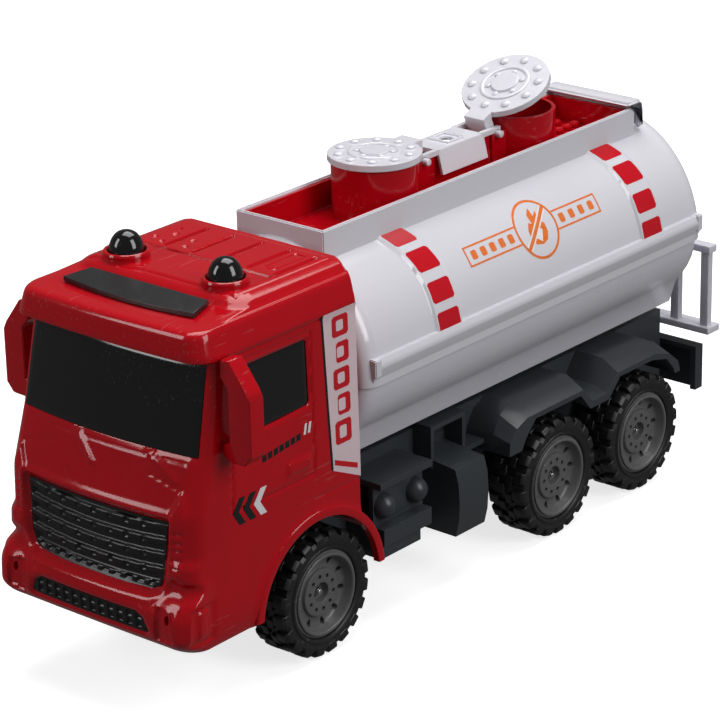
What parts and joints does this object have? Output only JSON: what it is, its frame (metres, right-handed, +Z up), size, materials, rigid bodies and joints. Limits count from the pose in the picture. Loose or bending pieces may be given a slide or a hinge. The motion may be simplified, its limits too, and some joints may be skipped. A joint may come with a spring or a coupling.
{
  "type": "toy tanker truck",
  "caption": "Toy tanker truck of moulded plastic with a flat-fronted cab, a round tank, hinged hatch lids, free-rolling axles and a flywheel friction motor.",
  "frame": {"origin": "middle of the bounding box's base, on the surface that the tyres stand on", "axes": "+Z up, the truck faces -Y, +X is the driver's left"},
  "size_m": [0.114, 0.315, 0.171],
  "materials": {
    "red_plastic": "injection moulded, high gloss",
    "white_plastic": "injection moulded, gloss, faintly blue",
    "milky_plastic": "slightly translucent bluish white",
    "black_plastic": "high gloss black",
    "satin_black_plastic": "satin black",
    "slate_plastic": "satin slate grey",
    "grey_plastic": "satin mid grey",
    "tyre": "soft black, moulded lugs",
    "natural_plastic": "unpainted gear plastic",
    "steel": "plated steel"
  },
  "bodies": {
    "truck": {"cab_shell": "red_plastic", "mirror_left": "red_plastic", "mirror_right": "red_plastic", "hatch_tray": "red_plastic", "tank_upper_shell": "white_plastic", "tank_lower_shell": "white_plastic", "hinge_bracket": "white_plastic", "tank_hood": "milky_plastic", "rear_guard": "milky_plastic", "windscreen": "black_plastic", "side_window_left": "black_plastic", "side_window_right": "black_plastic", "beacon_left": "black_plastic", "beacon_right": "black_plastic", "front_grille": "satin_black_plastic", "lower_grille": "satin_black_plastic", "roof_light_bar": "satin_black_plastic", "chassis_frame": "slate_plastic", "chassis_cover": "slate_plastic", "motor_housing_left": "slate_plastic", "motor_housing_right": "slate_plastic", "bracket_screw": "steel", "cab_screw_left": "steel", "cab_screw_right": "steel", "tank_screw_1": "steel", "tank_screw_2": "steel", "tank_screw_3": "steel", "tank_screw_4": "steel", "cover_screw_1": "steel", "cover_screw_2": "steel", "cover_screw_3": "steel"},
    "front_wheels": {"axle_front": "steel", "rim_front_left": "grey_plastic", "rim_front_right": "grey_plastic", "tyre_front_left": "tyre", "tyre_front_right": "tyre"},
    "middle_wheels": {"axle_middle": "steel", "rim_middle_left": "grey_plastic", "rim_middle_right": "grey_plastic", "tyre_middle_left": "tyre", "tyre_middle_right": "tyre", "axle_gear": "natural_plastic"},
    "rear_wheels": {"axle_rear": "steel", "rim_rear_left": "grey_plastic", "rim_rear_right": "grey_plastic", "tyre_rear_left": "tyre", "tyre_rear_right": "tyre"},
    "idler": {"idler_gear": "natural_plastic", "idler_shaft": "steel"},
    "flywheel": {"flywheel": "steel", "flywheel_pinion": "steel"},
    "front_lid": {"hatch_lid_front": "white_plastic"},
    "rear_lid": {"hatch_lid_rear": "white_plastic"}
  },
  "joints": [
    {"name": "front_axle", "type": "hinge", "parent": "truck", "child": "front_wheels", "pos_m": [0, -0.0822, 0.0236], "axis": [1, 0, 0], "continuous": true},
    {"name": "middle_axle", "type": "hinge", "parent": "truck", "child": "middle_wheels", "pos_m": [0, 0.049, 0.0236], "axis": [1, 0, 0], "continuous": true},
    {"name": "rear_axle", "type": "hinge", "parent": "truck", "child": "rear_wheels", "pos_m": [0, 0.1037, 0.0236], "axis": [1, 0, 0], "continuous": true},
    {"name": "idler_spin", "type": "hinge", "parent": "truck", "child": "idler", "pos_m": [0, 0.0587, 0.0292], "axis": [1, 0, 0], "continuous": true},
    {"name": "flywheel_spin", "type": "hinge", "parent": "truck", "child": "flywheel", "pos_m": [0, 0.06922, 0.03303], "axis": [1, 0, 0], "continuous": true},
    {"name": "front_lid_hinge", "type": "hinge", "parent": "truck", "child": "front_lid", "pos_m": [0, 0.01765, 0.1489], "axis": [-1, 0, 0], "range_deg": [0, 90]},
    {"name": "rear_lid_hinge", "type": "hinge", "parent": "truck", "child": "rear_lid", "pos_m": [0, 0.06065, 0.1489], "axis": [1, 0, 0], "range_deg": [-25, 65]}
  ],
  "couplings": [
    {"joint": "idler_spin", "follows": "middle_axle", "ratio": -2.2},
    {"joint": "flywheel_spin", "follows": "middle_axle", "ratio": 4.84}
  ]
}
